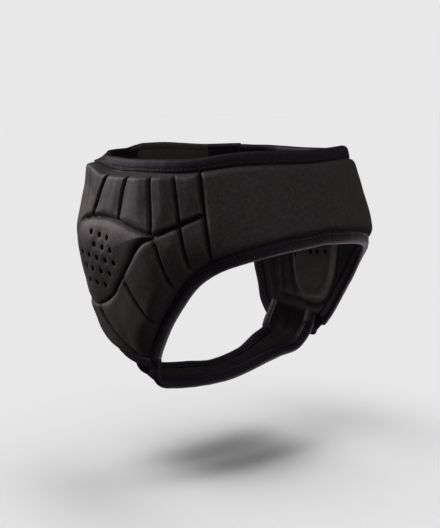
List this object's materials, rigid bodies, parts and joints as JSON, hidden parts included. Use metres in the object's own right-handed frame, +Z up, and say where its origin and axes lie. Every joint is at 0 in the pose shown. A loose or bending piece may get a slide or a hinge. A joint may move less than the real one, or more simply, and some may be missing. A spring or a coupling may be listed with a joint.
{
  "type": "ear guard",
  "caption": "Padded sport guard for the ears: smooth brow panel, moulded ear pads with perforated domes, back strap, chin strap and taped edges.",
  "frame": {"origin": "middle of the head opening, level with the lower edge of the brow panel, where the guard sits on a head", "axes": "+Z up; the wearer faces -Y; +X is the wearer's left"},
  "size_m": [0.1924, 0.203, 0.1656],
  "materials": {
    "pad_fabric": "matt brown-black knitted fabric moulded over foam",
    "strap_fabric": "matt brown-black knitted fabric over thin foam",
    "binding_tape": "smooth stretch tape, near black with a faint blue sheen"
  },
  "bodies": {
    "root": {"forehead_panel": "pad_fabric", "ear_pad_right": "pad_fabric", "ear_pad_left": "pad_fabric", "back_strap": "strap_fabric", "top_binding": "binding_tape", "face_binding": "binding_tape", "rear_binding_right": "binding_tape", "rear_binding_left": "binding_tape", "chin_strap": "strap_fabric", "chin_binding_front": "binding_tape", "chin_binding_back": "binding_tape"}
  },
  "joints": []
}
